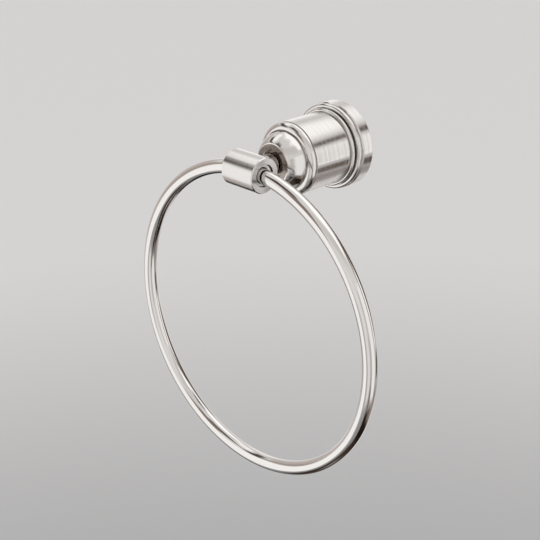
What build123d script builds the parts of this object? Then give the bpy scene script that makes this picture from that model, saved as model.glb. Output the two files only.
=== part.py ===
"""Wall-mounted towel ring: a turned post with a cross barrel, and a bent rod hoop that swings in it.

Millimetres, +Z up. The origin is the centre of the flange on the wall, which is the plane Y = 0.
The post stands out along -Y, so a depth below is measured from the wall towards the front.
"""
import os
from math import asin, degrees, sqrt

from build123d import *

# Hoop, a bent round rod
hoop_radius = 88.0
rod_diameter = 8.0
hoop_end_gap = 4.0
rod_end_chamfer = 0.6

# Cross barrel that carries the hoop
reach = 71.2
barrel_diameter = 19.6
barrel_length = 23.2
barrel_bore = 12.0
barrel_edge = 0.5
bore_edge = 0.25
socket_floor = 1.6

# Plastic bushes in the barrel's ends
bush_length = 5.0
bush_recess = 1.5
bush_lip = 0.45
bush_fit = 0.04
rod_clearance = 0.3

# Stem between the bell's mouth and the barrel
stem_diameter = 12.2
stem_edge = 0.4
stem_fit = 0.05

# Wall flange, a plain band with one bead in front of it
flange_diameter = 49.0
band_width = 8.0
band_wall = 2.5
band_edge = 0.5
flange_groove = 0.5
flange_groove_depth = 0.9
bead_radius = 1.5
bead_inset = 0.2
bead_seat = 1.4

# Bell body, from its foot to its mouth
body_diameter = 40.8
foot_bead_radius = 1.1
foot_bead_proud = 1.6
foot_groove = 0.35
foot_groove_depth = 0.4
cylinder_end = 40.4
line_groove = 0.7
line_groove_depth = 0.6
shoulder_radius = 3.6
shoulder_groove = 0.6
shoulder_groove_depth = 0.8
dome_height = 9.6
dome_bulge = 0.95
mouth_diameter = 23.0
mouth_edge = 1.5
recess_diameter = 15.4
recess_depth = 2.4
recess_edge = 0.3
body_wall = 3.6
cavity_end_wall = 4.4
head_pocket_diameter = 15.0
mouth_floor = 6.0

# Wall bracket inside the bell
hub_clearance = 0.3
hub_nose = 3.0
hub_edge = 0.8
plate_clearance = 2.5
bracket_plate = 3.0
wall_screw_spacing = 16.0
wall_screw_hole = 4.5
wall_screw_head = 8.6
wall_screw_floor = 4.0
lock_groove_position = 19.0
lock_groove_depth = 2.0

# Screws
thread_clearance = 0.05
stem_screw_diameter = 6.0
stem_screw_head_diameter = 10.0
stem_screw_head_height = 6.0
stem_screw_hex = 5.0
stem_screw_hex_depth = 3.0
tapped_floor = 1.7
tapped_spare = 1.6
screw_hole_clearance = 0.3
washer_diameter = 11.8
washer_thickness = 1.6
washer_gap = 0.8
head_edge = 0.5
grub_screw_diameter = 5.0
grub_screw_hex = 2.5
grub_screw_hex_depth = 2.2
grub_screw_sunk = 0.5
grub_point_gap = 0.2

# Places that follow from the sizes above
barrel_radius = barrel_diameter / 2
bush_middle = barrel_length / 2 - bush_recess - bush_length / 2
hoop_drop = sqrt(hoop_radius**2 - bush_middle**2)
body_radius = body_diameter / 2
cavity_radius = body_radius - body_wall
hub_radius = cavity_radius - hub_clearance
flange_radius = flange_diameter / 2
flange_inside = flange_radius - band_wall
bead_ring = flange_radius - bead_inset - bead_radius
bead_middle = band_width + flange_groove + bead_radius - bead_inset
seat_depth = bead_middle + bead_seat
cavity_depth = cylinder_end - cavity_end_wall
shoulder_front = cylinder_end + line_groove + shoulder_radius
mouth_front = shoulder_front + dome_height
recess_floor = mouth_front - recess_depth
screw_face = recess_floor - mouth_floor
socket_depth = reach - barrel_bore / 2 - socket_floor


def at(radius, depth):
    """A point of a turned section: radius from the post's axis, depth in front of the wall."""
    return (radius, -depth)


def rod_bow(position):
    """How far the bent rod's centre-line leaves the barrel's axis at a place along it."""
    return abs(sqrt(hoop_radius**2 - position**2) - hoop_drop)


bush_inner_end = bush_middle - bush_length / 2
bush_outer_end = bush_middle + bush_length / 2
bush_bore = rod_diameter + 2 * (max(rod_bow(bush_inner_end), rod_bow(bush_outer_end)) + rod_clearance)

os.makedirs("parts", exist_ok=True)

# Wall flange: band, groove, bead and a front web that the bell's foot seats on
groove_radius = flange_radius - flange_groove_depth
with BuildPart() as wall_flange:
    with BuildSketch(Plane.XY):
        with BuildLine():
            Polyline(
                at(flange_inside, 0),
                at(flange_radius - band_edge, 0),
                at(flange_radius, band_edge),
                at(flange_radius, band_width - band_edge),
                at(flange_radius - band_edge, band_width),
                at(groove_radius, band_width),
                at(groove_radius, bead_middle),
                at(bead_ring, bead_middle),
                at(bead_ring, seat_depth),
                at(hub_radius + hub_clearance, seat_depth),
                at(hub_radius + hub_clearance, band_width),
                at(flange_inside, band_width),
                close=True,
            )
        make_face()
        with Locations(at(bead_ring, bead_middle)):
            Circle(bead_radius)
    revolve(axis=Axis.Y)
wall_flange.part.label = "wall_flange"
export_step(wall_flange.part, "parts/wall_flange.step")

# Bell body: one turned piece, hollow behind, with the stem's recess in its mouth
foot_bead_ring = body_radius + foot_bead_proud - foot_bead_radius
foot_bead_middle = seat_depth + foot_bead_radius + foot_groove
foot_end = foot_bead_middle + foot_bead_radius + foot_groove
shoulder_ring = body_radius - shoulder_radius
dome_radius = shoulder_ring - shoulder_groove
mouth_radius = mouth_diameter / 2
shoulder_base = cylinder_end + line_groove
with BuildPart() as bell_body:
    with BuildSketch(Plane.XY) as bell_section:
        with BuildLine():
            Polyline(
                at(cavity_radius, seat_depth),
                at(foot_bead_ring, seat_depth),
                at(foot_bead_ring, foot_bead_middle),
                at(body_radius - foot_groove_depth, foot_bead_middle),
                at(body_radius - foot_groove_depth, foot_end),
                at(body_radius, foot_end + foot_groove_depth),
                at(body_radius, cylinder_end),
                at(body_radius - line_groove_depth, cylinder_end + line_groove / 2),
                at(body_radius, shoulder_base),
            )
            CenterArc(at(shoulder_ring, shoulder_base), shoulder_radius, 0, -90)
            Polyline(
                at(shoulder_ring, shoulder_front),
                at(dome_radius + shoulder_groove / 2, shoulder_front - shoulder_groove_depth),
                at(dome_radius, shoulder_front),
            )
            SagittaArc(at(dome_radius, shoulder_front), at(mouth_radius, mouth_front), dome_bulge)
            Polyline(
                at(mouth_radius, mouth_front),
                at(recess_diameter / 2 + recess_edge, mouth_front),
                at(recess_diameter / 2, mouth_front - recess_edge),
                at(recess_diameter / 2, recess_floor),
                at(stem_screw_diameter / 2 + screw_hole_clearance, recess_floor),
                at(stem_screw_diameter / 2 + screw_hole_clearance, screw_face),
                at(head_pocket_diameter / 2, screw_face),
                at(head_pocket_diameter / 2, cavity_depth),
                at(cavity_radius, cavity_depth),
                at(cavity_radius, seat_depth),
            )
        make_face()
        lip = bell_section.vertices().sort_by_distance(at(mouth_radius, mouth_front))[0]
        fillet(lip, mouth_edge)
        with Locations(at(foot_bead_ring, foot_bead_middle)):
            Circle(foot_bead_radius)
    revolve(axis=Axis.Y)
    with BuildSketch(Plane.XY.offset(-body_radius)):
        with Locations((0, -lock_groove_position)):
            Circle(grub_screw_diameter / 2 + thread_clearance)
    extrude(amount=body_wall + hub_clearance, mode=Mode.SUBTRACT)
bell_body.part.label = "bell_body"
export_step(bell_body.part, "parts/bell_body.step")

# Wall bracket: plate and hub with two counterbored screw holes and a groove for the grub screw
plate_radius = flange_inside - plate_clearance
hub_depth = lock_groove_position + lock_groove_depth + hub_nose
lock_groove_floor = hub_radius - lock_groove_depth
with BuildPart() as wall_bracket:
    with BuildSketch(Plane.XY):
        with BuildLine():
            Polyline(
                at(0, 0),
                at(plate_radius, 0),
                at(plate_radius, bracket_plate),
                at(hub_radius, bracket_plate),
                at(hub_radius, lock_groove_position - lock_groove_depth),
                at(lock_groove_floor, lock_groove_position),
                at(hub_radius, lock_groove_position + lock_groove_depth),
                at(hub_radius, hub_depth - hub_edge),
                at(hub_radius - hub_edge, hub_depth),
                at(0, hub_depth),
                close=True,
            )
        make_face()
    revolve(axis=Axis.Y)
    with Locations(Plane.XZ.offset(hub_depth)):
        with GridLocations(wall_screw_spacing, 0, 2, 1):
            CounterBoreHole(wall_screw_hole / 2, wall_screw_head / 2, hub_depth - wall_screw_floor)
wall_bracket.part.label = "wall_bracket"
export_step(wall_bracket.part, "parts/wall_bracket.step")

# Grub screw: cone point in the bracket's groove, hex socket flush under the bell
grub_radius = grub_screw_diameter / 2
grub_outer = body_radius - grub_screw_sunk
grub_tip = lock_groove_floor + grub_point_gap
with BuildPart() as grub_screw:
    with BuildSketch(Plane.YZ):
        with BuildLine():
            Polyline(
                (-lock_groove_position, -grub_tip),
                (-lock_groove_position + grub_radius, -grub_tip - grub_radius),
                (-lock_groove_position + grub_radius, -grub_outer),
                (-lock_groove_position, -grub_outer),
                close=True,
            )
        make_face()
    revolve(axis=Axis((0, -lock_groove_position, 0), (0, 0, 1)))
    with BuildSketch(Plane.XY.offset(-grub_outer)):
        with Locations((0, -lock_groove_position)):
            RegularPolygon(grub_screw_hex / 2, 6, major_radius=False)
    extrude(amount=grub_screw_hex_depth, mode=Mode.SUBTRACT)
grub_screw.part.label = "grub_screw"
export_step(grub_screw.part, "parts/grub_screw.step")

# Stem: turned post, tapped from behind for the stem screw
screw_head_face = screw_face - washer_thickness
tapped_end = socket_depth - tapped_floor
screw_end = tapped_end - tapped_spare
with BuildPart() as stem:
    with BuildSketch(Plane.XZ.offset(recess_floor)):
        Circle(stem_diameter / 2)
    extrude(amount=socket_depth - recess_floor)
    chamfer(stem.edges().filter_by(GeomType.CIRCLE), stem_edge)
    with BuildSketch(Plane.XZ.offset(recess_floor)):
        Circle(stem_screw_diameter / 2 + thread_clearance)
    extrude(amount=tapped_end - recess_floor, mode=Mode.SUBTRACT)
stem.part.label = "stem"
export_step(stem.part, "parts/stem.step")

# Stem screw: socket cap screw from inside the bell
with BuildPart() as stem_screw:
    with BuildSketch(Plane.XZ.offset(screw_head_face)):
        Circle(stem_screw_diameter / 2)
    extrude(amount=screw_end - screw_head_face)
    chamfer(stem_screw.edges().sort_by(Axis.Y)[0], head_edge)
    with BuildSketch(Plane.XZ.offset(screw_head_face)):
        Circle(stem_screw_head_diameter / 2)
    extrude(amount=-stem_screw_head_height)
    chamfer(stem_screw.edges().sort_by(Axis.Y)[-1], head_edge)
    with BuildSketch(Plane.XZ.offset(screw_head_face - stem_screw_head_height)):
        RegularPolygon(stem_screw_hex / 2, 6, major_radius=False)
    extrude(amount=stem_screw_hex_depth, mode=Mode.SUBTRACT)
stem_screw.part.label = "stem_screw"
export_step(stem_screw.part, "parts/stem_screw.step")

# Spring washer under the screw's head, split on one side
with BuildPart() as spring_washer:
    with BuildSketch(Plane.XZ.offset(screw_head_face)):
        Circle(washer_diameter / 2)
        Circle(stem_screw_diameter / 2 + screw_hole_clearance, mode=Mode.SUBTRACT)
        with Locations((0, washer_diameter / 2)):
            Rectangle(washer_gap, washer_diameter, mode=Mode.SUBTRACT)
    extrude(amount=washer_thickness)
spring_washer.part.label = "spring_washer"
export_step(spring_washer.part, "parts/spring_washer.step")

# Cross barrel: bored through for the bushes, with a flat-floored socket behind for the stem
with BuildPart() as cross_barrel:
    with BuildSketch(Plane.YZ.offset(-barrel_length / 2)):
        with Locations((-reach, 0)):
            Circle(barrel_radius)
            Circle(barrel_bore / 2, mode=Mode.SUBTRACT)
    extrude(amount=barrel_length)
    rims = cross_barrel.edges().filter_by(GeomType.CIRCLE)
    chamfer(rims.group_by(SortBy.RADIUS)[-1], barrel_edge)
    chamfer(rims.group_by(SortBy.RADIUS)[0], bore_edge)
    with BuildSketch(Plane.XZ.offset(socket_depth)):
        Circle(stem_diameter / 2 + stem_fit)
    extrude(amount=socket_depth - reach, mode=Mode.SUBTRACT)
cross_barrel.part.label = "cross_barrel"
export_step(cross_barrel.part, "parts/cross_barrel.step")

# Bushes: plastic liners set back in both ends of the bore, wide enough for the bent rod
for side, name in ((-1, "bush_left"), (1, "bush_right")):
    with BuildPart() as bush:
        with BuildSketch(Plane.YZ.offset(side * bush_inner_end)):
            with Locations((-reach, 0)):
                Circle(barrel_bore / 2 - bush_fit)
                Circle(bush_bore / 2, mode=Mode.SUBTRACT)
        extrude(amount=side * bush_length)
        mouths = bush.edges().filter_by(GeomType.CIRCLE).group_by(SortBy.RADIUS)[0]
        chamfer(mouths, bush_lip)
    bush.part.label = name
    export_step(bush.part, f"parts/{name}.step")

# Hoop: one rod bent to a circle, with its two ends facing each other inside the barrel
end_angle = degrees(asin(hoop_end_gap / 2 / hoop_radius))
with BuildPart() as hoop:
    with BuildLine(Plane.XZ.offset(reach)):
        bend = CenterArc((0, -hoop_drop), hoop_radius, 90 + end_angle, 360 - 2 * end_angle)
    with BuildSketch(Plane(origin=bend @ 0, z_dir=bend % 0)):
        Circle(rod_diameter / 2)
    sweep()
    chamfer(hoop.edges().filter_by(GeomType.CIRCLE).group_by(SortBy.RADIUS)[0], rod_end_chamfer)
hoop.part.label = "hoop"
export_step(hoop.part, "parts/hoop.step")
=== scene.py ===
"""Towel ring in satin nickel: a turned post and a swinging hoop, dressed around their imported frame."""
import math

import bmesh
import bpy
from bpy.props import FloatProperty, FloatVectorProperty, PointerProperty
from mathutils import Euler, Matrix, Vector


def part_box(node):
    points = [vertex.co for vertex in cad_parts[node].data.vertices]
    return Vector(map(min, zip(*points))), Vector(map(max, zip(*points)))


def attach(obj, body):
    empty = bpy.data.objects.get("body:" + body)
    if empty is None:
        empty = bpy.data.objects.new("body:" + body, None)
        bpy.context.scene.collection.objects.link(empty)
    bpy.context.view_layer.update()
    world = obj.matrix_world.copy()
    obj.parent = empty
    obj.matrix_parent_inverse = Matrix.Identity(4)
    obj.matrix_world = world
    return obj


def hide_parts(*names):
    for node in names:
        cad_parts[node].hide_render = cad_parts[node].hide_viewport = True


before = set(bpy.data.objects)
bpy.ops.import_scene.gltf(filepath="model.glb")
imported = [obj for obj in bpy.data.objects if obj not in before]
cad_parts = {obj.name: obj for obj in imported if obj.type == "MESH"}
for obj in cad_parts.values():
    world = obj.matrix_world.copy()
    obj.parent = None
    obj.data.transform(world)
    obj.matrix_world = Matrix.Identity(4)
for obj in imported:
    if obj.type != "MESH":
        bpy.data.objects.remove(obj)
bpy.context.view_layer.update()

bl_info = {
    "name": "Towel ring",
    "version": (1, 0, 0),
    "blender": (4, 5, 0),
    "location": "View3D > Sidebar > Towel ring",
    "description": "Dresses a satin nickel towel ring around its packed frame",
    "category": "Object",
}

MM = 0.001

# Boxes of the frame, from which the main sizes come
FLANGE_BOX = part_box("wall_flange")
STEM_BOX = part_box("stem")
BARREL_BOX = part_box("cross_barrel")
BUSH_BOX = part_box("bush_right")
HOOP_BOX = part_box("hoop")
GRUB_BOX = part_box("grub_screw")
BARREL_CENTRE = (BARREL_BOX[0] + BARREL_BOX[1]) / 2

# Places and turns
ORIGIN = (0, 0, 0)
UNTURNED = (0, 0, 0)
QUARTER_TURN = math.pi / 2
QUARTER_ABOUT_X = (QUARTER_TURN, 0, 0)
QUARTER_ABOUT_Z = (0, 0, QUARTER_TURN)

# How finely the pieces are meshed
TURN_STEPS = 192
CORNER_POINTS = 4
BEAD_STEPS = 28
SHOULDER_STEPS = 26
DOME_STEPS = 40
LIP_STEPS = 12
ROD_STEPS = 600
ROD_SIDES = 56
DRILL_SIDES = TURN_STEPS // 2
MERGE_DISTANCE = 0.0005 * MM
SHARP_ANGLE = math.radians(35)

# How far the arcs of the bell stop short of the rounded corners beside them, in degrees
SHOULDER_START = 12
DOME_TRIM = 1


def length(name, description, default):
    """A size that a user may change, in metres."""
    return FloatProperty(
        name=name, description=description, default=default, min=0, precision=5, unit="LENGTH"
    )


def angle(name, description, degrees):
    """An angle that a user may change, given in degrees."""
    return FloatProperty(
        name=name, description=description, default=math.radians(degrees), subtype="ANGLE"
    )


def linear(hex_colour):
    """An sRGB hex colour as the linear red, green and blue that a shader takes."""
    levels = [int(hex_colour[start:start + 2], 16) / 255 for start in (1, 3, 5)]
    return [part / 12.92 if part <= 0.04045 else ((part + 0.055) / 1.055) ** 2.4 for part in levels]


def colour(name, description, hex_colour):
    """A colour that a user may change, given as sRGB hex."""
    return FloatVectorProperty(
        name=name, description=description, default=linear(hex_colour), min=0, max=1, subtype="COLOR"
    )


class TOWELRING_PG_flange(bpy.types.PropertyGroup):
    """Sizes of the wall flange, a plain band with one bead in front of it."""

    radius: length("Radius", "Outside of the band", FLANGE_BOX[1].x)
    band: length("Band", "Width of the plain band at the wall", 8 * MM)
    wall: length("Wall", "Thickness of the band", 2.5 * MM)
    edge: length("Edge", "Chamfer on both edges of the band", 0.5 * MM)
    groove: length("Groove", "Gap between band and bead", 0.5 * MM)
    groove_depth: length("Groove depth", "How far the groove is cut below the band", 0.9 * MM)
    bead: length("Bead", "Radius of the bead's round", 1.5 * MM)
    bead_inset: length("Bead inset", "How far the bead stays inside the band's radius", 0.2 * MM)
    bead_seat: length("Bead seat", "From the bead's middle to the face under the bell", 1.4 * MM)


class TOWELRING_PG_bell(bpy.types.PropertyGroup):
    """Sizes of the bell, the turned body from the flange to the stem."""

    radius: length("Radius", "Radius of the brushed cylinder", 20.4 * MM)
    wall: length("Wall", "Thickness of the cylinder's wall", 3.6 * MM)
    foot_bead: length("Foot bead", "Radius of the foot bead's round", 1.1 * MM)
    foot_proud: length("Foot bead height", "How far the foot bead stands out from the cylinder", 1.6 * MM)
    foot_groove: length("Foot groove", "Gap on both sides of the foot bead", 0.35 * MM)
    foot_groove_depth: length("Foot groove depth", "How far that gap is cut below the cylinder", 0.4 * MM)
    cylinder_end: length("Cylinder end", "From the wall to the front of the cylinder", 40.4 * MM)
    cavity_end_wall: length("Front wall", "Wall between the cavity and the cylinder's front", 4.4 * MM)
    line_groove: length("Line groove", "Width of the fine line behind the shoulder", 0.7 * MM)
    line_groove_depth: length("Line groove depth", "Depth of that line", 0.6 * MM)
    shoulder: length("Shoulder", "Radius of the rounded shoulder", 3.6 * MM)
    shoulder_groove: length("Shoulder groove", "Width of the groove between shoulder and dome", 0.6 * MM)
    shoulder_groove_depth: length("Shoulder groove depth", "Depth of that groove", 0.8 * MM)
    dome: length("Dome", "Height of the dome", 9.6 * MM)
    dome_bulge: length("Dome bulge", "How far the dome stands out from a plain cone", 0.95 * MM)
    mouth_radius: length("Mouth radius", "Radius of the front face, before its edge is rounded", 11.5 * MM)
    mouth_edge: length("Mouth edge", "Round between the dome and the front face", 1.5 * MM)
    recess_radius: length("Recess radius", "Radius of the recess that the stem stands in", 7.7 * MM)
    recess: length("Recess", "Depth of that recess", 2.4 * MM)
    recess_edge: length("Recess edge", "Chamfer on the rim of the recess", 0.3 * MM)
    screw_hole: length("Screw hole", "Radius of the hole for the stem's screw", 3.3 * MM)
    screw_floor: length("Screw floor", "Thickness between the recess and the screw's pocket", 6 * MM)
    screw_pocket: length("Screw pocket", "Radius of the pocket for the screw's head", 7.5 * MM)
    grub_hole: length("Grub hole", "Radius of the tapped hole underneath", 2.55 * MM)


class TOWELRING_PG_hanger(bpy.types.PropertyGroup):
    """Sizes of the stem, the cross barrel, its bushes and the hoop."""

    stem_radius: length("Stem radius", "Radius of the stem", STEM_BOX[1].x)
    stem_edge: length("Stem edge", "Chamfer on the stem's ends", 0.4 * MM)
    stem_tap: length("Stem thread", "Radius of the tapped hole in the stem", 3.05 * MM)
    stem_floor: length("Stem floor", "Solid end of the stem in front of the tapped hole", 1.7 * MM)
    stem_fit: length("Stem fit", "Clearance round the stem in the barrel", 0.05 * MM)
    barrel_radius: length("Barrel radius", "Outside of the cross barrel", BARREL_BOX[1].z)
    barrel_half: length("Barrel half length", "From the middle of the barrel to its end", BARREL_BOX[1].x)
    barrel_bore: length("Barrel bore", "Radius of the bore", 6 * MM)
    barrel_edge: length("Barrel edge", "Chamfer on the barrel's outer edges", 0.5 * MM)
    bore_edge: length("Bore edge", "Chamfer on the bore's edges", 0.25 * MM)
    bush_radius: length("Bush radius", "Outside of the bushes", BUSH_BOX[1].z)
    bush_bore: length("Bush bore", "Radius of the hole for the rod", 4.5527 * MM)
    bush_lip: length("Bush lip", "Chamfer on the edges of that hole", 0.45 * MM)
    rod_radius: length("Rod radius", "Radius of the hoop's rod", (HOOP_BOX[1].y - HOOP_BOX[0].y) / 2)
    rod_gap: length("Rod gap", "Gap between the rod's two ends inside the barrel", 4 * MM)
    rod_edge: length("Rod edge", "Chamfer on the rod's ends", 0.6 * MM)
    broken_edge: length("Broken edge", "Small round that polishing leaves on every edge", 0.12 * MM)


class TOWELRING_PG_finish(bpy.types.PropertyGroup):
    """Colours of the finishes. The groove and bore colours are painted shade: dark brown where the real
    piece lies in shade or mirrors dark things.
    """

    nickel: colour("Nickel", "Nickel plate in plain light", "#D5D2CF")
    nickel_dull: colour("Dull nickel", "Nickel plate between the bright brush lines", "#CBC7C4")
    # Painted shade: the groove colour darkens the grooves, the mouth's face and the recess's rim in place
    # of their shade and dark reflections
    groove: colour("Groove", "Nickel in the grooves, where polishing wax stays", "#968D87")
    # Painted shade: the bore colour is a dark brown standing in for the shade inside the barrel's bore
    bore_shade: colour("Brass", "Browned brass inside the barrel", "#3A302A")
    nylon: colour("Nylon", "Natural nylon of the bushes", "#F8F6F2")
    zinc: colour("Zinc", "Die-cast zinc of the bracket", "#A5A7A9")
    steel: colour("Steel", "Stainless steel of the screws", "#B4B1AC")


class TOWELRING_PG_stage(bpy.types.PropertyGroup):
    """The camera, the floor and the light."""

    camera_azimuth: angle("Camera azimuth", "Round the post from straight in front, towards +X", 45.5)
    camera_elevation: angle("Camera elevation", "Above the level of the post", 23.72)
    camera_distance: length("Camera distance", "From the aim point to the camera", 618.9 * MM)
    camera_aim: FloatVectorProperty(
        name="Camera aim",
        description="From the middle of the barrel to the point that the camera looks at",
        default=(22.59 * MM, -7.02 * MM, -47.87 * MM),
        precision=5,
        subtype="TRANSLATION",
        unit="LENGTH",
    )
    camera_lens: FloatProperty(
        name="Lens", description="Focal length in millimetres", default=78.11, unit="CAMERA"
    )
    floor_drop: length("Floor drop", "From the middle of the post down to the floor", 1200 * MM)
    # Painted shade: the floor is darker straight below the object and paler further out
    floor_shade_near: colour("Near floor", "Floor straight below the object", "#A2A2A3")
    floor_far: colour("Far floor", "Floor further out, where it is paler", "#D9D8D8")
    surround: colour("Surround", "Even light that fills the room", "#F8F7F6")


GROUPS = {
    "flange": TOWELRING_PG_flange,
    "bell": TOWELRING_PG_bell,
    "hanger": TOWELRING_PG_hanger,
    "finish": TOWELRING_PG_finish,
    "stage": TOWELRING_PG_stage,
}
PREFIX = "towel_ring_"


def settings(group):
    """The values that a property group holds in the open scene."""
    return getattr(bpy.context.scene, PREFIX + group)


# Node trees


def connect(tree, node, inputs):
    """Sets or links a node's inputs by name or number, where another node stands for its first output."""
    for key, value in inputs.items():
        if isinstance(value, bpy.types.Node):
            value = value.outputs[0]
        if isinstance(value, bpy.types.NodeSocket):
            tree.links.new(value, node.inputs[key])
        else:
            node.inputs[key].default_value = value


def add_node(tree, kind, inputs=None, **values):
    """Adds a node, sets its own values, and sets or links its inputs."""
    node = tree.nodes.new(kind)
    for key, value in values.items():
        setattr(node, key, value)
    connect(tree, node, inputs or {})
    return node


def new_tree(name, sockets):
    """A Geometry Nodes tree with named inputs and one mesh out; returns the tree and what it is given."""
    tree = bpy.data.node_groups.new(name, "GeometryNodeTree")
    tree.interface.new_socket("Geometry", in_out="INPUT", socket_type="NodeSocketGeometry")
    for socket, kind in sockets.items():
        tree.interface.new_socket(socket, in_out="INPUT", socket_type="NodeSocket" + kind)
    tree.interface.new_socket("Geometry", in_out="OUTPUT", socket_type="NodeSocketGeometry")
    return tree, tree.nodes.new("NodeGroupInput").outputs


def dressed_mesh(tree, mesh, finish):
    """Shades a mesh smooth, apart from edges that turn more than the sharp angle, and gives it a finish."""
    smooth = add_node(
        tree, "GeometryNodeSetShadeSmooth", {"Geometry": mesh, "Shade Smooth": True}, domain="FACE"
    )
    turn = add_node(tree, "GeometryNodeInputMeshEdgeAngle")
    sharp = add_node(tree, "FunctionNodeCompare", {0: turn, 1: SHARP_ANGLE}, operation="GREATER_THAN")
    edges = add_node(
        tree,
        "GeometryNodeSetShadeSmooth",
        {"Geometry": smooth, "Selection": sharp, "Shade Smooth": False},
        domain="EDGE",
    )
    real = add_node(tree, "GeometryNodeRealizeInstances", {"Geometry": edges})
    return add_node(tree, "GeometryNodeSetMaterial", {"Geometry": real, "Material": finish})


def turned_shell(tree, given):
    """Rounds the corners of a drawn section, turns it about the Y axis and puts it in its place."""
    drawn = add_node(tree, "GeometryNodeObjectInfo", {"Object": given["Section"]})
    corner = add_node(tree, "GeometryNodeInputRadius")
    rounded = add_node(
        tree,
        "GeometryNodeFilletCurve",
        {
            "Curve": drawn.outputs["Geometry"],
            "Count": given["Corner Points"],
            "Radius": corner,
            "Limit Radius": True,
        },
        mode="POLY",
    )
    outline = add_node(tree, "GeometryNodeCurveToMesh", {"Curve": rounded})
    size = add_node(tree, "GeometryNodeAttributeDomainSize", {"Geometry": outline}, component="MESH")
    count = size.outputs["Point Count"]
    rows = add_node(tree, "FunctionNodeIntegerMath", {0: count, 1: given["Closed"]}, operation="ADD")
    steps = given["Turn Steps"]
    columns = add_node(tree, "FunctionNodeIntegerMath", {0: steps, 1: 1}, operation="ADD")
    grid = add_node(tree, "GeometryNodeMeshGrid", {"Vertices X": columns, "Vertices Y": rows})
    index = add_node(tree, "GeometryNodeInputIndex")
    row = add_node(tree, "FunctionNodeIntegerMath", {0: index, 1: rows}, operation="MODULO")
    point = add_node(tree, "FunctionNodeIntegerMath", {0: row, 1: count}, operation="MODULO")
    column = add_node(tree, "FunctionNodeIntegerMath", {0: index, 1: rows}, operation="DIVIDE_FLOOR")
    position = add_node(tree, "GeometryNodeInputPosition")
    sampled = add_node(
        tree,
        "GeometryNodeSampleIndex",
        {"Geometry": outline, "Value": position, "Index": point},
        data_type="FLOAT_VECTOR",
        domain="POINT",
    )
    share = add_node(tree, "ShaderNodeMath", {0: column, 1: steps}, operation="DIVIDE")
    swing = add_node(tree, "ShaderNodeMath", {0: share, 1: math.tau}, operation="MULTIPLY")
    turned = add_node(
        tree, "ShaderNodeVectorRotate", {"Vector": sampled, "Angle": swing}, rotation_type="Y_AXIS"
    )
    shell = add_node(tree, "GeometryNodeSetPosition", {"Geometry": grid, "Position": turned})
    closed = add_node(
        tree, "GeometryNodeMergeByDistance", {"Geometry": shell, "Distance": MERGE_DISTANCE}
    )
    outward = add_node(tree, "GeometryNodeFlipFaces", {"Mesh": closed})
    return add_node(
        tree,
        "GeometryNodeTransform",
        {"Geometry": outward, "Translation": given["Place"], "Rotation": given["Turn"]},
    )


def drilled_solid(tree, given, solid):
    """Drills one round hole into a solid."""
    drill = add_node(
        tree,
        "GeometryNodeMeshCylinder",
        {"Vertices": DRILL_SIDES, "Radius": given["Hole Radius"], "Depth": given["Hole Length"]},
        fill_type="NGON",
    )
    aimed = add_node(
        tree,
        "GeometryNodeTransform",
        {"Geometry": drill, "Translation": given["Hole Place"], "Rotation": given["Hole Turn"]},
    )
    return add_node(
        tree,
        "GeometryNodeMeshBoolean",
        {"Mesh 1": solid, "Mesh 2": aimed},
        operation="DIFFERENCE",
        solver="EXACT",
    )


# Inputs of a turned piece's tree, then those of its hole and of each band of another finish
TURNED_INPUTS = {
    "Section": "Object",
    "Closed": "Int",
    "Corner Points": "Int",
    "Turn Steps": "Int",
    "Place": "Vector",
    "Turn": "Rotation",
    "Finish": "Material",
}
HOLE_INPUTS = {
    "Hole Radius": "Float",
    "Hole Length": "Float",
    "Hole Place": "Vector",
    "Hole Turn": "Rotation",
}
BAND_INPUTS = {"Finish": "Material", "From": "Float", "To": "Float", "Inside": "Float", "Outside": "Float"}


def banded_mesh(tree, given, mesh, bands):
    """Gives each band of a turned mesh its finish: the faces between two depths and between two radii."""
    position = add_node(tree, "GeometryNodeInputPosition")
    offset = add_node(
        tree, "ShaderNodeVectorMath", {0: position, 1: given["Place"]}, operation="SUBTRACT"
    )
    undone = add_node(tree, "FunctionNodeInvertRotation", {0: given["Turn"]})
    local = add_node(tree, "FunctionNodeRotateVector", {"Vector": offset, "Rotation": undone})
    spot = add_node(tree, "ShaderNodeSeparateXYZ", {0: local}).outputs
    across = add_node(tree, "ShaderNodeCombineXYZ", {"X": spot["X"], "Z": spot["Z"]})
    radius = add_node(tree, "ShaderNodeVectorMath", {0: across}, operation="LENGTH").outputs["Value"]
    depth = add_node(tree, "ShaderNodeMath", {0: spot["Y"]}, operation="ABSOLUTE")
    for band in range(bands):
        finish, start, end, inside, outside = (given[f"Band {band} {key}"] for key in BAND_INPUTS)
        chosen = 1.0
        for more, less in ((depth, start), (end, depth), (radius, inside), (outside, radius)):
            test = add_node(tree, "ShaderNodeMath", {0: more, 1: less}, operation="GREATER_THAN")
            chosen = add_node(tree, "ShaderNodeMath", {0: test, 1: chosen}, operation="MULTIPLY")
        mesh = add_node(
            tree, "GeometryNodeSetMaterial", {"Geometry": mesh, "Selection": chosen, "Material": finish}
        )
    return mesh


def turned_tree(drilled, bands):
    """Turns a drawn section, drills one hole if asked, and gives it its finish and its bands."""
    sockets = {**TURNED_INPUTS, **(HOLE_INPUTS if drilled else {})}
    for band in range(bands):
        sockets.update((f"Band {band} {key}", kind) for key, kind in BAND_INPUTS.items())
    tree, given = new_tree("Drilled turned piece" if drilled else "Turned piece", sockets)
    solid = turned_shell(tree, given)
    if drilled:
        solid = drilled_solid(tree, given, solid)
    dressed = dressed_mesh(tree, solid, given["Finish"])
    add_node(tree, "NodeGroupOutput", {0: banded_mesh(tree, given, dressed, bands)})
    return tree


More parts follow.
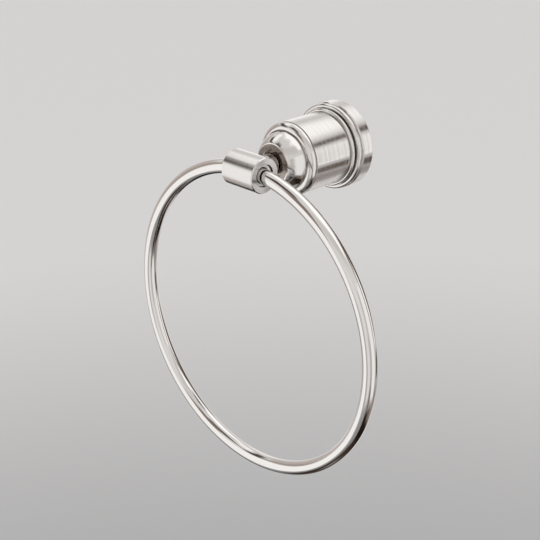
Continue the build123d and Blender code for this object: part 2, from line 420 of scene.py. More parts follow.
def bent_rod_tree():
    """A round rod along an arc that stands on its edge, with both ends chamfered."""
    sockets = {
        "Bend Radius": "Float",
        "Rod Radius": "Float",
        "End Angle": "Float",
        "End Share": "Float",
        "Steps": "Int",
        "Sides": "Int",
        "Centre": "Vector",
        "Finish": "Material",
    }
    tree, given = new_tree("Bent rod", sockets)
    end = given["End Angle"]
    start = add_node(tree, "ShaderNodeMath", {0: end, 1: QUARTER_TURN}, operation="ADD")
    sweep = add_node(tree, "ShaderNodeMath", {0: end, 1: -2.0, 2: math.tau}, operation="MULTIPLY_ADD")
    arc = add_node(
        tree,
        "GeometryNodeCurveArc",
        {
            "Resolution": given["Steps"],
            "Radius": given["Bend Radius"],
            "Start Angle": start,
            "Sweep Angle": sweep,
        },
        mode="RADIUS",
    )
    ends = add_node(tree, "GeometryNodeCurveEndpointSelection", {"Start Size": 1, "End Size": 1})
    thickness = add_node(
        tree,
        "GeometryNodeSwitch",
        {"Switch": ends, "False": 1.0, "True": given["End Share"]},
        input_type="FLOAT",
    )
    section = add_node(
        tree,
        "GeometryNodeCurvePrimitiveCircle",
        {"Resolution": given["Sides"], "Radius": given["Rod Radius"]},
        mode="RADIUS",
    )
    rod = add_node(
        tree,
        "GeometryNodeCurveToMesh",
        {"Curve": arc, "Profile Curve": section, "Scale": thickness, "Fill Caps": True},
    )
    upright = add_node(
        tree,
        "GeometryNodeTransform",
        {"Geometry": rod, "Translation": given["Centre"], "Rotation": QUARTER_ABOUT_X},
    )
    add_node(tree, "NodeGroupOutput", {0: dressed_mesh(tree, upright, given["Finish"])})
    return tree


def grown_mesh(name, tree, values):
    """Runs a Geometry Nodes tree on a new object and keeps the result as a plain mesh at the origin."""
    piece = bpy.data.objects.new(name, bpy.data.meshes.new(name))
    bpy.context.scene.collection.objects.link(piece)
    grower = piece.modifiers.new("Shape", "NODES")
    grower.node_group = tree
    for item in tree.interface.items_tree:
        if item.in_out == "INPUT" and item.name in values:
            grower[item.identifier] = values[item.name]
    flats = piece.modifiers.new("Flat faces", "WEIGHTED_NORMAL")
    flats.keep_sharp = True
    depsgraph = bpy.context.evaluated_depsgraph_get()
    mesh = bpy.data.meshes.new_from_object(
        piece.evaluated_get(depsgraph), preserve_all_data_layers=True, depsgraph=depsgraph
    )
    if not mesh.polygons:
        raise RuntimeError(f"{name} came out empty")
    piece.modifiers.clear()
    empty = piece.data
    piece.data = mesh
    bpy.data.meshes.remove(empty)
    mesh.name = name
    return piece


class Outline:
    """Points round a turned section: radius from the axis, depth along it and rounding of the corner."""

    def __init__(self):
        self.points = []

    def to(self, radius, depth, rounding=0.0):
        """The next corner."""
        self.points.append((radius, depth, rounding))

    def arc(self, radius, depth, bend, start, end, steps):
        """An arc about a centre, in degrees from straight outwards, turning towards the front."""
        for step in range(steps + 1):
            turn = math.radians(start + (end - start) * step / steps)
            self.to(radius + bend * math.cos(turn), depth + bend * math.sin(turn))

    def tube(self, rims, rounding):
        """A tube about its middle, with the same rims at both ends, listed from the bore outwards."""
        for end, order in ((-1, rims), (1, rims[::-1])):
            for radius, depth in order:
                self.to(radius, end * depth, rounding)

    def drawn(self, name, closed):
        """A curve object of the outline, with each corner's rounding as the radius of its point."""
        curve = bpy.data.curves.new(name, "CURVE")
        curve.dimensions = "3D"
        spline = curve.splines.new("POLY")
        spline.points.add(len(self.points) - 1)
        for point, (radius, depth, rounding) in zip(spline.points, self.points):
            point.co = (radius, -depth, 0, 1)
            point.radius = rounding
        spline.use_cyclic_u = closed
        drawn = bpy.data.objects.new(name, curve)
        bpy.context.scene.collection.objects.link(drawn)
        return drawn


def turned_piece(name, outline, finish, closed=True, bands=(), place=ORIGIN, turn=UNTURNED, hole=None):
    """A piece turned from its outline. Each band is another finish with its depths and its radii."""
    drawn = outline.drawn(name + "_section", closed)
    values = {
        "Section": drawn,
        "Closed": int(closed),
        "Corner Points": CORNER_POINTS,
        "Turn Steps": TURN_STEPS,
        "Place": place,
        "Turn": turn,
        "Finish": finish,
    }
    for number, band in enumerate(bands):
        values.update(zip((f"Band {number} {key}" for key in BAND_INPUTS), band))
    if hole:
        values.update(zip(HOLE_INPUTS, hole))
    piece = grown_mesh(name, turned_tree(bool(hole), len(bands)), values)
    curve = drawn.data
    bpy.data.objects.remove(drawn)
    bpy.data.curves.remove(curve)
    return piece


def fit_to_frame(piece, body, node):
    """Lets a piece stand for its CAD node and move with its body."""
    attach(piece, body)
    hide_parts(node)


# Materials

# Colour sockets of a Mix node, by number because its other kinds of sockets have the same names
MIX_FIRST = 6
MIX_SECOND = 7
MIX_RESULT = 2

# Length of a brush stroke, depth of a scratch, and the range that holds most of the noise
BRUSH_STROKE = 400 * MM
BRUSH_DEPTH = 0.02 * MM
BRUSH_SPREAD = (0.35, 0.65)
# Share of a full turn by which the smear of reflections is turned, from round the axis to along it
SMEAR_TURN = 0.25

# Sizes of the grain in the other finishes; the finest are drawn coarser than the real ones, to show
POLISH_GRAIN = 2.5 * MM
WAX_GRAIN = 0.8 * MM
TARNISH_GRAIN = 0.5 * MM
NYLON_GRAIN = 0.6 * MM
CASTING_GRAIN = 0.4 * MM
STEEL_GRAIN = 0.25 * MM

METAL = {"Metallic": 1.0}
MILKY_PLASTIC = {
    "IOR": 1.53,
    "Subsurface Weight": 0.2,
    "Subsurface Radius": (1.0, 0.9, 0.8),
    "Subsurface Scale": 1 * MM,
}
MATT_PAPER = {"Roughness": 0.9, "Specular IOR Level": 0.1}


def named_material(name):
    """The material of that name, with its Principled shader if it is new and still has to be set."""
    material = bpy.data.materials.get(name)
    if material:
        return material, None
    material = bpy.data.materials.new(name)
    material.use_nodes = True
    return material, material.node_tree.nodes["Principled BSDF"]


def brushed_nickel(name, pitch, roughness, scratches, smear, turn=UNTURNED, centre=ORIGIN):
    """Nickel plate over turned brass, brushed round an axis with a fine abrasive belt.

    Fine threads run round the piece, so reflections stay crisp round it and smear along it.
    The real threads are a few hundredths of a millimetre apart, and are drawn coarser to show.
    """
    material, shader = named_material(name)
    if shader is None:
        return material
    tree = material.node_tree
    finish = settings("finish")
    spot = add_node(tree, "ShaderNodeTexCoord").outputs["Object"]
    shift = -(Euler(turn).to_matrix() @ Vector(centre))
    axis = add_node(
        tree,
        "ShaderNodeMapping",
        {"Vector": spot, "Location": shift, "Rotation": turn},
        vector_type="POINT",
    )
    parts = add_node(tree, "ShaderNodeSeparateXYZ", {0: axis}).outputs
    across = add_node(tree, "ShaderNodeCombineXYZ", {"X": parts["X"], "Z": parts["Z"]})
    radius = add_node(tree, "ShaderNodeVectorMath", {0: across}, operation="LENGTH").outputs["Value"]
    along = add_node(tree, "ShaderNodeMath", {0: parts["Y"], 1: radius}, operation="SUBTRACT")
    lines = add_node(tree, "ShaderNodeMath", {0: along, 1: pitch}, operation="DIVIDE")
    strokes = add_node(
        tree, "ShaderNodeVectorMath", {0: across, "Scale": 1 / BRUSH_STROKE}, operation="SCALE"
    )
    stroke = add_node(tree, "ShaderNodeSeparateXYZ", {0: strokes}).outputs
    thread = add_node(tree, "ShaderNodeCombineXYZ", {"X": lines, "Y": stroke["X"], "Z": stroke["Z"]})
    threads = add_node(
        tree,
        "ShaderNodeTexNoise",
        {"Vector": thread, "Scale": 1.0, "Detail": 1.5, "Roughness": 0.6},
        noise_dimensions="3D",
    )
    tone = add_node(
        tree,
        "ShaderNodeMix",
        {0: threads, MIX_FIRST: (*finish.nickel_dull, 1), MIX_SECOND: (*finish.nickel, 1)},
        data_type="RGBA",
    )
    low, high = BRUSH_SPREAD
    smooth, rough = roughness
    gloss = add_node(
        tree,
        "ShaderNodeMapRange",
        {"Value": threads, "From Min": low, "From Max": high, "To Min": rough, "To Max": smooth},
    )
    scratch = add_node(
        tree, "ShaderNodeBump", {"Strength": scratches, "Distance": BRUSH_DEPTH, "Height": threads}
    )
    # The barrel's axis lies along X, and the post's along Y
    tangent = add_node(tree, "ShaderNodeTangent", direction_type="RADIAL", axis="X" if any(turn) else "Y")
    looks = {
        "Base Color": tone.outputs[MIX_RESULT],
        "Roughness": gloss,
        "Normal": scratch,
        "Tangent": tangent,
        "Anisotropic": smear,
        "Anisotropic Rotation": SMEAR_TURN,
    }
    connect(tree, shader, {**METAL, **looks})
    return material


def post_nickel():
    """Plainly visible brushing round the flange's band and the cylinder."""
    return brushed_nickel(
        "satin_nickel_brushed_round_post", pitch=0.8 * MM, roughness=(0.08, 0.26), scratches=0.12, smear=0.9
    )


def turned_nickel():
    """Finer brushing of the beads, the shoulder and the dome, which still mirror."""
    return brushed_nickel(
        "satin_nickel_turnings", pitch=0.4 * MM, roughness=(0.09, 0.16), scratches=0.01, smear=0.85
    )


def barrel_nickel():
    """Fine brushing round the cross barrel's axis."""
    return brushed_nickel(
        "satin_nickel_brushed_round_barrel",
        pitch=0.4 * MM,
        roughness=(0.12, 0.2),
        scratches=0.02,
        smear=0.9,
        turn=QUARTER_ABOUT_Z,
        centre=BARREL_CENTRE,
    )


def barrel_end_nickel():
    """Coarser facing marks on the barrel's flat ends, which spread the light into wedges."""
    return brushed_nickel(
        "satin_nickel_faced_ends",
        pitch=0.5 * MM,
        roughness=(0.14, 0.2),
        scratches=0.02,
        smear=0.95,
        turn=QUARTER_ABOUT_Z,
        centre=BARREL_CENTRE,
    )


def grained(name, tone, grain, roughness, detail=4.0, harsh=0.5, spread=(0, 1), skin=None, looks=METAL):
    """A finish of one colour whose roughness varies with an even grain over the noise's spread.

    A skin, given as strength and height, makes the grain stand out as fine bumps.
    """
    material, shader = named_material(name)
    if shader is None:
        return material
    tree = material.node_tree
    spot = add_node(tree, "ShaderNodeTexCoord").outputs["Object"]
    noise = add_node(
        tree,
        "ShaderNodeTexNoise",
        {"Vector": spot, "Scale": 1 / grain, "Detail": detail, "Roughness": harsh},
    )
    low, high = spread
    smooth, rough = roughness
    gloss = add_node(
        tree,
        "ShaderNodeMapRange",
        {"Value": noise, "From Min": low, "From Max": high, "To Min": smooth, "To Max": rough},
    )
    base = (*getattr(settings("finish"), tone), 1)
    connect(tree, shader, {"Base Color": base, "Roughness": gloss, **looks})
    if skin:
        strength, height = skin
        bumps = add_node(
            tree, "ShaderNodeBump", {"Strength": strength, "Distance": height, "Height": noise}
        )
        connect(tree, shader, {"Normal": bumps})
    return material


def rod_nickel():
    """Nickel plate buffed on a cloth wheel: it mirrors, with a faint haze that varies over it."""
    return grained(
        "buffed_nickel_rod", "nickel", POLISH_GRAIN, roughness=(0.08, 0.125), harsh=0.6, spread=(0.3, 0.7)
    )


def painted_shade_nickel():
    """Nickel painted dull brown as shade, so grooves, the mouth's face and the recess's rim read as dark
    lines where the real piece lies in shade or mirrors dark things.
    """
    return grained("nickel_painted_groove_shade", "groove", WAX_GRAIN, roughness=(0.14, 0.26))


def bore_painted_shade():
    """Reamed brass painted dark brown as the shade inside the bore, so the bore stays dark round the pale
    bush.
    """
    return grained("brass_bore_painted_shade", "bore_shade", TARNISH_GRAIN, roughness=(0.35, 0.55))


def natural_nylon():
    """Moulded natural nylon: milky and slightly see-through, with a soft satin skin."""
    return grained(
        "moulded_natural_nylon",
        "nylon",
        NYLON_GRAIN,
        roughness=(0.34, 0.5),
        detail=3.0,
        skin=(0.1, 0.02 * MM),
        looks=MILKY_PLASTIC,
    )


def die_cast_zinc():
    """Die-cast zinc, left as it came from the tool: grey, dull and finely grained."""
    return grained(
        "die_cast_zinc",
        "zinc",
        CASTING_GRAIN,
        roughness=(0.42, 0.62),
        detail=5.0,
        harsh=0.7,
        skin=(0.25, 0.03 * MM),
    )


def screw_steel():
    """Stainless steel, cold headed and tumbled: bright grey with a fine even haze."""
    return grained("tumbled_stainless_steel", "steel", STEEL_GRAIN, roughness=(0.22, 0.4))


# Places that several pieces share


def flange_bead():
    """Radius and depth of the middle of the flange's bead."""
    flange = settings("flange")
    ring = flange.radius - flange.bead_inset - flange.bead
    return ring, flange.band + flange.groove + flange.bead - flange.bead_inset


def seat_depth():
    """Depth of the face where the bell's foot sits on the flange."""
    return flange_bead()[1] + settings("flange").bead_seat


def cavity_radius():
    """Radius of the bell's cavity, which the flange's web repeats."""
    bell = settings("bell")
    return bell.radius - bell.wall


def bowed_arc(start, end, bulge):
    """Centre and radius of an arc between two points of a section, from how far it leaves their chord."""
    chord = math.dist(start, end)
    radius = chord**2 / (8 * bulge) + bulge / 2
    back = (radius - bulge) / chord
    across = (start[0] + end[0]) / 2 - back * (end[1] - start[1])
    along = (start[1] + end[1]) / 2 + back * (end[0] - start[0])
    return across, along, radius


def arc_angle(across, radius):
    """Angle in degrees at which a round leaves a line that far from its middle."""
    return math.degrees(math.acos(across / radius))


# Pieces


class TOWELRING_OT_wall_flange(bpy.types.Operator):
    """Turns the wall flange: a brushed band, a groove and a bead"""

    bl_idname = "towel_ring.wall_flange"
    bl_label = "Wall flange"

    def execute(self, context):
        flange = settings("flange")
        bell = settings("bell")
        edge = settings("hanger").broken_edge
        ring, middle = flange_bead()
        groove = flange.radius - flange.groove_depth
        seat = seat_depth()
        inside = flange.radius - flange.wall
        bead_foot = bell.radius + bell.foot_proud
        bead_start = -arc_angle(groove - ring, flange.bead)
        bead_end = 90 + arc_angle(flange.bead_seat, flange.bead)
        outline = Outline()
        outline.to(inside, 0, edge)
        outline.to(flange.radius - flange.edge, 0, edge)
        outline.to(flange.radius, flange.edge, edge)
        outline.to(flange.radius, flange.band - flange.edge, edge)
        outline.to(flange.radius - flange.edge, flange.band, edge)
        outline.to(groove, flange.band)
        outline.arc(ring, middle, flange.bead, bead_start, bead_end, BEAD_STEPS)
        outline.to(bead_foot, seat)
        outline.to(cavity_radius(), seat, edge)
        outline.to(cavity_radius(), flange.band, edge)
        outline.to(inside, flange.band)
        far = 2 * flange.radius
        margin = flange.edge / 4
        bands = [
            (post_nickel(), flange.edge, flange.band - flange.edge, flange.radius - 2 * margin, far),
            # Painted shade: a dark brown ring where the bell's foot sits on the flange
            (painted_shade_nickel(), seat - margin, seat + margin, cavity_radius(), bead_foot),
        ]
        piece = turned_piece("flange_turning", outline, turned_nickel(), bands=bands)
        fit_to_frame(piece, "post", "wall_flange")
        return {"FINISHED"}


class TOWELRING_OT_bell_body(bpy.types.Operator):
    """Turns the bell: foot bead, brushed cylinder, shoulder and dome, hollow behind, tapped underneath"""

    bl_idname = "towel_ring.bell_body"
    bl_label = "Bell body"

    def execute(self, context):
        bell = settings("bell")
        edge = settings("hanger").broken_edge
        seat = seat_depth()
        foot_ring = bell.radius + bell.foot_proud - bell.foot_bead
        foot_middle = seat + bell.foot_bead + bell.foot_groove
        foot_end = foot_middle + bell.foot_bead + bell.foot_groove
        foot_floor = bell.radius - bell.foot_groove_depth
        foot_round_end = 180 - arc_angle(foot_ring - foot_floor, bell.foot_bead)
        cylinder_start = foot_end + bell.foot_groove_depth
        line_middle = bell.cylinder_end + bell.line_groove / 2
        shoulder_base = bell.cylinder_end + bell.line_groove
        shoulder_ring = bell.radius - bell.shoulder
        shoulder_front = shoulder_base + bell.shoulder
        dome_radius = shoulder_ring - bell.shoulder_groove
        mouth_front = shoulder_front + bell.dome
        across, along, bow = bowed_arc(
            (dome_radius, shoulder_front), (bell.mouth_radius, mouth_front), bell.dome_bulge
        )
        lip_depth = mouth_front - bell.mouth_edge
        lip_ring = across + math.sqrt((bow - bell.mouth_edge) ** 2 - (lip_depth - along) ** 2)
        dome_start = math.degrees(math.atan2(shoulder_front - along, dome_radius - across))
        dome_end = math.degrees(math.atan2(lip_depth - along, lip_ring - across))
        recess_rim = mouth_front - bell.recess_edge
        recess_floor = mouth_front - bell.recess
        screw_face = recess_floor - bell.screw_floor
        cavity_depth = bell.cylinder_end - bell.cavity_end_wall
        outline = Outline()
        outline.to(cavity_radius(), seat, edge)
        outline.to(foot_ring, seat)
        outline.arc(foot_ring, foot_middle, bell.foot_bead, -90, foot_round_end, BEAD_STEPS)
        outline.to(foot_floor, foot_end)
        outline.to(bell.radius, cylinder_start, edge)
        outline.to(bell.radius, bell.cylinder_end, edge)
        outline.to(bell.radius - bell.line_groove_depth, line_middle)
        outline.to(bell.radius, shoulder_base, bell.line_groove_depth)
        outline.arc(shoulder_ring, shoulder_base, bell.shoulder, SHOULDER_START, 90, SHOULDER_STEPS)
        outline.to(shoulder_ring - bell.shoulder_groove / 2, shoulder_front - bell.shoulder_groove_depth)
        outline.to(dome_radius, shoulder_front, edge)
        outline.arc(across, along, bow, dome_start + DOME_TRIM, dome_end - DOME_TRIM, DOME_STEPS)
        outline.arc(lip_ring, lip_depth, bell.mouth_edge, dome_end, 90, LIP_STEPS)
        outline.to(bell.recess_radius + bell.recess_edge, mouth_front, edge)
        outline.to(bell.recess_radius, recess_rim, edge)
        outline.to(bell.recess_radius, recess_floor)
        outline.to(bell.screw_hole, recess_floor, edge)
        outline.to(bell.screw_hole, screw_face, edge)
        outline.to(bell.screw_pocket, screw_face)
        outline.to(bell.screw_pocket, cavity_depth, edge)
        outline.to(cavity_radius(), cavity_depth)
        far = 2 * bell.radius
        cylinder_skin = bell.radius - bell.line_groove_depth / 4
        line_rim = bell.radius - bell.line_groove_depth / 3
        recess_wall = bell.recess_radius + edge
        bands = [
            (post_nickel(), cylinder_start, bell.cylinder_end, cylinder_skin, far),
            # Painted shade: dark brown in the line behind the shoulder, on the mouth's front face and on
            # the recess's floor and rim, standing in for their shade and dark reflections
            (painted_shade_nickel(), bell.cylinder_end, shoulder_base, cavity_radius(), line_rim),
            (painted_shade_nickel(), mouth_front - edge, mouth_front + edge, bell.recess_radius, lip_ring),
            (painted_shade_nickel(), recess_floor - edge, recess_rim, bell.screw_hole, recess_wall),
        ]
        # The drill is long enough to stand out on both sides of the wall
        drill_length = 3 * bell.wall
        hole_place = (0, (GRUB_BOX[0].y + GRUB_BOX[1].y) / 2, -bell.radius)
        hole = (bell.grub_hole, drill_length, hole_place, UNTURNED)
        piece = turned_piece("bell_turning", outline, turned_nickel(), bands=bands, hole=hole)
        fit_to_frame(piece, "post", "bell_body")
        return {"FINISHED"}


class TOWELRING_OT_stem(bpy.types.Operator):
    """Turns the stem between the bell's mouth and the barrel, tapped from behind"""

    bl_idname = "towel_ring.stem"
    bl_label = "Stem"

    def execute(self, context):
        hanger = settings("hanger")
        edge = hanger.broken_edge
        back = -STEM_BOX[1].y
        front = -STEM_BOX[0].y
        tapped = front - hanger.stem_floor
        outline = Outline()
        outline.to(0, tapped)
        outline.to(hanger.stem_tap, tapped)
        outline.to(hanger.stem_tap, back, edge)
        outline.to(hanger.stem_radius - hanger.stem_edge, back, edge)
        outline.to(hanger.stem_radius, back + hanger.stem_edge, edge)
        outline.to(hanger.stem_radius, front - hanger.stem_edge, edge)
        outline.to(hanger.stem_radius - hanger.stem_edge, front, edge)
        outline.to(0, front)
        piece = turned_piece("stem_turning", outline, rod_nickel(), closed=False)
        fit_to_frame(piece, "post", "stem")
        return {"FINISHED"}


class TOWELRING_OT_cross_barrel(bpy.types.Operator):
    """Turns the cross barrel with its bore, and cuts the stem's socket in its back"""

    bl_idname = "towel_ring.cross_barrel"
    bl_label = "Cross barrel"

    def execute(self, context):
        hanger = settings("hanger")
        half = hanger.barrel_half
        rims = [
            (hanger.barrel_bore, half - hanger.bore_edge),
            (hanger.barrel_bore + hanger.bore_edge, half),
            (hanger.barrel_radius - hanger.barrel_edge, half),
            (hanger.barrel_radius, half - hanger.barrel_edge),
        ]
        outline = Outline()
        outline.tube(rims, hanger.broken_edge)
        socket_floor = STEM_BOX[0].y
        socket_length = hanger.barrel_radius
        socket_place = (0, socket_floor + socket_length / 2, 0)
        socket = (hanger.stem_radius + hanger.stem_fit, socket_length, socket_place, QUARTER_ABOUT_X)
        far = 2 * half
        margin = hanger.bore_edge / 4
        bands = [
            (barrel_nickel(), -far, far, hanger.barrel_bore + margin, far),
            (barrel_end_nickel(), half - margin, far, hanger.barrel_bore, far),
        ]
        # The base finish stays only in the bore, painted dark brown as shade
        piece = turned_piece(
            "barrel_turning",
            outline,
            bore_painted_shade(),
            bands=bands,
            place=BARREL_CENTRE,
            turn=QUARTER_ABOUT_Z,
            hole=socket,
        )
        fit_to_frame(piece, "post", "cross_barrel")
        return {"FINISHED"}


class TOWELRING_OT_bushes(bpy.types.Operator):
    """Turns the two bushes that line the barrel's ends"""

    bl_idname = "towel_ring.bushes"
    bl_label = "Bushes"

    def execute(self, context):
        hanger = settings("hanger")
        for node in ("bush_left", "bush_right"):
            low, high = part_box(node)
            half = (high.x - low.x) / 2
            rims = [
                (hanger.bush_bore, half - hanger.bush_lip),
                (hanger.bush_bore + hanger.bush_lip, half),
                (hanger.bush_radius, half),
            ]
            outline = Outline()
            outline.tube(rims, hanger.broken_edge)
            place = (low + high) / 2
            piece = turned_piece(
                node + "_moulding", outline, natural_nylon(), place=place, turn=QUARTER_ABOUT_Z
            )
            fit_to_frame(piece, "post", node)
        return {"FINISHED"}


class TOWELRING_OT_hoop(bpy.types.Operator):
    """Bends the hoop's rod to a circle with its ends facing each other inside the barrel"""

    bl_idname = "towel_ring.hoop"
    bl_label = "Hoop"

    def execute(self, context):
        hanger = settings("hanger")
        low, high = HOOP_BOX
        bend = (high.x - low.x) / 2 - hanger.rod_radius
        values = {
            "Bend Radius": bend,
            "Rod Radius": hanger.rod_radius,
            "End Angle": math.asin(hanger.rod_gap / 2 / bend),
            "End Share": 1 - hanger.rod_edge / hanger.rod_radius,
            "Steps": ROD_STEPS,
            "Sides": ROD_SIDES,
            "Centre": (0, (low.y + high.y) / 2, low.z + hanger.rod_radius + bend),
            "Finish": rod_nickel(),
        }
        piece = grown_mesh("hoop_rod", bent_rod_tree(), values)
        fit_to_frame(piece, "ring", "hoop")
        return {"FINISHED"}


class TOWELRING_OT_fixings(bpy.types.Operator):
    """Finishes the bracket, the screws and the washer, which keep their CAD shapes"""

    bl_idname = "towel_ring.fixings"
    bl_label = "Bracket and screws"

    def execute(self, context):
        finishes = {
            "wall_bracket": die_cast_zinc(),
            "grub_screw": screw_steel(),
            "stem_screw": screw_steel(),
            "spring_washer": screw_steel(),
        }
        for node, material in finishes.items():
            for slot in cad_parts[node].material_slots:
                slot.material = material
        return {"FINISHED"}


# Stage

# Half the floor's width, and the distances from its middle over which its colour changes, from painted
# shade straight below the object to paler paper further out
FLOOR_HALF = 14.0
FIRST_FADE = (0.6, 2.9)
LAST_FADE = (7.5, 12.5)

# The cards are patches of spheres about the barrel's middle, each a gap nearer than the one before
CARD_DISTANCE = 1.15
CARD_GAP = 0.01
CARD_STEP = 5
CARD_MAP = "card"
CARD_MIDDLE = 0.5
FULL_CIRCLE = 360
DARK_TONE = "#FFC29A"

# Width of the camera's sensor in millimetres, and the nearest distance that it sees
SENSOR_WIDTH = 36
CLIP_START = 10 * MM

# Name, azimuths, elevations, level and width of the soft edge, with angles in degrees
SOFTBOXES = (
    ("overhead", (66, 262), (56, 89), 1.2, 14),
    ("over_wall", (104, 236), (36, 82), 1.55, 7),
    ("left_high", (-122, -68), (39, 60), 1.4, 4),
    ("front_left", (-68, -3), (-58, 21), 1.3, 8),
    ("low_left", (-100, -60), (-53, -36), 0.62, 6),
    ("front", (10, 52), (-48, 24), 1.0, 8),
    ("right", (71, 120), (-47, 27), 1.2, 6),
    ("beside_post", (130, 151), (-19, 20), 1.35, 4),
    ("beside_left", (-146, -124), (-8, 18), 1.25, 6),
    ("low_back", (176, 272), (-36, -6), 0.9, 8),
    ("low_wall", (172, 214), (-60, -34), 0.9, 6),
)
FLAGS = (
    ("left", (-122, -58), (-24, 27), 0.66, 7),
    ("left_edge", (-84, -57), (-14, 28), 0.5, 6),
    ("left_band", (-104, -56), (27, 43), 0.06, 6),
    ("left_near", (-70, -42), (18, 39), 0.05, 7),
    ("left_back", (-160, -114), (22, 36), 0.75, 6),
    ("front_top", (0, 112), (28, 70), 0.82, 18),
    ("top_left", (-54, -4), (34, 68), 0.1, 8),
    ("front_high", (-28, 8), (9, 52), 0.3, 9),
    ("right_front", (53, 71), (-20, 20), 0.72, 5),
    ("front_gap", (-6, 9), (-46, -16), 0.6, 6),
    ("right_gap", (119, 132), (-14, 30), 0.28, 4),
    ("post_high", (130, 165), (21, 33), 0.1, 4),
    ("post_low", (132, 168), (-34, -20), 0.14, 4),
    ("wall", (152, 200), (-22, 27), 0.15, 6),
    ("low_right", (52, 78), (-52, -35), 0.28, 6),
    ("left_low", (-150, -98), (-66, -35), 0.01, 4),
    ("under", (-180, 180), (-90, -63), 0.06, 10),
    ("under_right", (50, 182), (-75, -47), 0.02, 7),
    ("low_foot", (91, 130), (-59, -46), 0.22, 5),
    ("low_post", (122, 165), (-57, -35), 0.4, 6),
)


def direction(azimuth, elevation):
    """Unit vector in degrees: azimuth from straight in front towards +X, and elevation above the level."""
    turn = math.radians(azimuth)
    rise = math.radians(elevation)
    return Vector((math.sin(turn) * math.cos(rise), -math.cos(turn) * math.cos(rise), math.sin(rise)))


def painted_shade_backdrop():
    """Matt backdrop paper with painted shade: darker straight below the object and lighter with the
    distance from it, alike on all sides.
    """
    material, shader = named_material("matt_backdrop_painted_shade")
    if shader is None:
        return material
    tree = material.node_tree
    stage = settings("stage")
    spot = add_node(tree, "ShaderNodeTexCoord").outputs["Object"]
    distance = add_node(tree, "ShaderNodeVectorMath", {0: spot}, operation="LENGTH").outputs["Value"]
    tone = (*stage.floor_shade_near, 1)
    for further, (start, end) in ((stage.floor_far, FIRST_FADE), (stage.surround, LAST_FADE)):
        share = add_node(
            tree,
            "ShaderNodeMapRange",
            {"Value": distance, "From Min": start, "From Max": end},
            interpolation_type="SMOOTHSTEP",
        )
        mixed = add_node(
            tree,
            "ShaderNodeMix",
            {0: share, MIX_FIRST: tone, MIX_SECOND: (*further, 1)},
            data_type="RGBA",
        )
        tone = mixed.outputs[MIX_RESULT]
    connect(tree, shader, {"Base Color": tone, **MATT_PAPER})
    return material


def add_floor(scene):
    """A large level floor of backdrop paper, far below the object."""
    sheet = bmesh.new()
    bmesh.ops.create_grid(sheet, x_segments=1, y_segments=1, size=FLOOR_HALF)
    mesh = bpy.data.meshes.new("floor")
    sheet.to_mesh(mesh)
    sheet.free()
    mesh.materials.append(painted_shade_backdrop())
    floor = bpy.data.objects.new("floor", mesh)
    floor.location.z = -settings("stage").floor_drop
    scene.collection.objects.link(floor)


def add_surround(scene):
    """Even light from all sides."""
    world = bpy.data.worlds.new("studio")
    world.use_nodes = True
    world.node_tree.nodes["Background"].inputs["Color"].default_value = (*settings("stage").surround, 1)
    scene.world = world


def card_mesh(name, azimuths, elevations, distance):
    """A patch of a sphere between two azimuths and two elevations, with a UV map from edge to edge."""
    widths = [last - first for first, last in (azimuths, elevations)]
    columns, rows = (math.ceil(width / CARD_STEP) for width in widths)
    sheet = bmesh.new()
    layer = sheet.loops.layers.uv.new(CARD_MAP)
    points = {}
    for column in range(columns + 1):
        azimuth = azimuths[0] + widths[0] * column / columns
        for row in range(rows + 1):
            elevation = elevations[0] + widths[1] * row / rows
            points[column, row] = sheet.verts.new(direction(azimuth, elevation) * distance)
    for column in range(columns):
        for row in range(rows):
            corners = ((column, row), (column + 1, row), (column + 1, row + 1), (column, row + 1))
            face = sheet.faces.new([points[corner] for corner in corners])
            for loop, (across, up) in zip(face.loops, corners):
                loop[layer].uv = (across / columns, up / rows)
    mesh = bpy.data.meshes.new(name)
    sheet.to_mesh(mesh)
    sheet.free()
    return mesh


def card_light(name, azimuths, elevations, level, soft):
    """Even light that fades out towards the card's edges; the weaker it is, the warmer its tone."""
    material = bpy.data.materials.new(name)
    material.use_nodes = True
    tree = material.node_tree
    tree.nodes.clear()
    spot = add_node(tree, "ShaderNodeUVMap", uv_map=CARD_MAP)
    parts = add_node(tree, "ShaderNodeSeparateXYZ", {0: spot}).outputs
    cover = 1.0
    for axis, (first, last) in (("X", azimuths), ("Y", elevations)):
        width = last - first
        if width < FULL_CIRCLE:
            inward = add_node(
                tree, "ShaderNodeMath", {0: parts[axis], 1: CARD_MIDDLE}, operation="PINGPONG"
            )
            fade = add_node(
                tree,
                "ShaderNodeMapRange",
                {"Value": inward, "From Max": min(soft / width, CARD_MIDDLE)},
                interpolation_type="SMOOTHSTEP",
            )
            cover = add_node(tree, "ShaderNodeMath", {0: fade, 1: cover}, operation="MULTIPLY")
    warmth = 1 - math.sqrt(min(level, 1))
    tone = [1 - warmth * (1 - part) for part in linear(DARK_TONE)]
    light = add_node(tree, "ShaderNodeEmission", {"Color": (*tone, 1), "Strength": level})
    clear = add_node(tree, "ShaderNodeBsdfTransparent")
    mixed = add_node(tree, "ShaderNodeMixShader", {0: cover, 1: clear, 2: light})
    add_node(tree, "ShaderNodeOutputMaterial", {"Surface": mixed})
    return material


def add_cards(scene):
    """Softboxes, which light the object and are mirrored in it, and flags, which are only mirrored."""
    distance = CARD_DISTANCE
    for kind, cards in (("softbox_", SOFTBOXES), ("flag_", FLAGS)):
        for name, azimuths, elevations, level, soft in cards:
            mesh = card_mesh(kind + name, azimuths, elevations, distance)
            mesh.materials.append(card_light(kind + name, azimuths, elevations, level, soft))
            card = bpy.data.objects.new(kind + name, mesh)
            card.location = BARREL_CENTRE
            card.visible_camera = False
            card.visible_diffuse = cards is SOFTBOXES
            card.visible_shadow = False
            scene.collection.objects.link(card)
            distance -= CARD_GAP


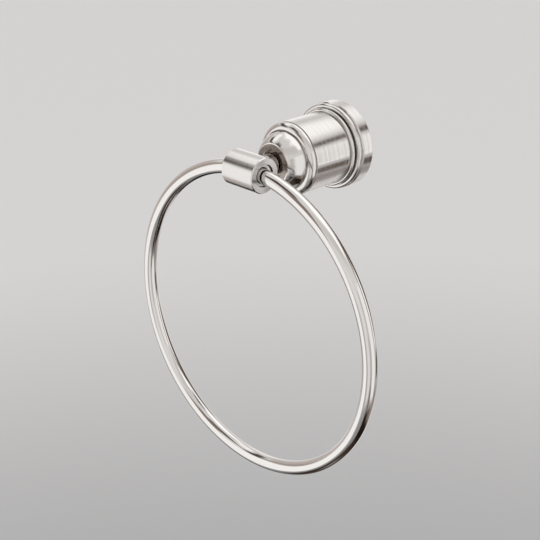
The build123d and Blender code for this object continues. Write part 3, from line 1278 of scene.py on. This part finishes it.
def add_camera(scene):
    """The camera, which looks at its aim point from the set azimuth, elevation and distance."""
    stage = settings("stage")
    camera = bpy.data.objects.new("camera", bpy.data.cameras.new("camera"))
    camera.data.lens = stage.camera_lens
    camera.data.sensor_width = SENSOR_WIDTH
    camera.data.clip_start = CLIP_START
    back = direction(math.degrees(stage.camera_azimuth), math.degrees(stage.camera_elevation))
    camera.location = BARREL_CENTRE + Vector(stage.camera_aim) + back * stage.camera_distance
    camera.rotation_mode = "QUATERNION"
    camera.rotation_quaternion = back.to_track_quat("Z", "Y")
    scene.collection.objects.link(camera)
    scene.camera = camera


class TOWELRING_OT_stage(bpy.types.Operator):
    """Sets up the floor, the light and the camera"""

    bl_idname = "towel_ring.stage"
    bl_label = "Stage"

    def execute(self, context):
        scene = context.scene
        scene.view_settings.view_transform = "Standard"
        add_floor(scene)
        add_surround(scene)
        add_cards(scene)
        add_camera(scene)
        return {"FINISHED"}


class TOWELRING_PT_pieces(bpy.types.Panel):
    """Lists the pieces and their sizes"""

    bl_idname = "TOWELRING_PT_pieces"
    bl_label = "Towel ring"
    bl_space_type = "VIEW_3D"
    bl_region_type = "UI"
    bl_category = "Towel ring"

    def draw(self, context):
        layout = self.layout
        for operator in OPERATORS:
            layout.operator(operator.bl_idname)
        for name in GROUPS:
            box = layout.box()
            box.label(text=name.capitalize())
            group = settings(name)
            for key in group.__annotations__:
                box.prop(group, key)


OPERATORS = (
    TOWELRING_OT_wall_flange,
    TOWELRING_OT_bell_body,
    TOWELRING_OT_stem,
    TOWELRING_OT_cross_barrel,
    TOWELRING_OT_bushes,
    TOWELRING_OT_hoop,
    TOWELRING_OT_fixings,
    TOWELRING_OT_stage,
)
CLASSES = (*GROUPS.values(), *OPERATORS, TOWELRING_PT_pieces)


def register():
    """Makes the classes and the scene's settings known."""
    for item in CLASSES:
        bpy.utils.register_class(item)
    for name, group in GROUPS.items():
        setattr(bpy.types.Scene, PREFIX + name, PointerProperty(type=group))


def unregister():
    """Takes the settings and the classes away again."""
    for name in GROUPS:
        delattr(bpy.types.Scene, PREFIX + name)
    for item in reversed(CLASSES):
        bpy.utils.unregister_class(item)


def main():
    register()
    for operator in OPERATORS:
        family, name = operator.bl_idname.split(".")
        getattr(getattr(bpy.ops, family), name)()


if __name__ == "__main__":
    main()
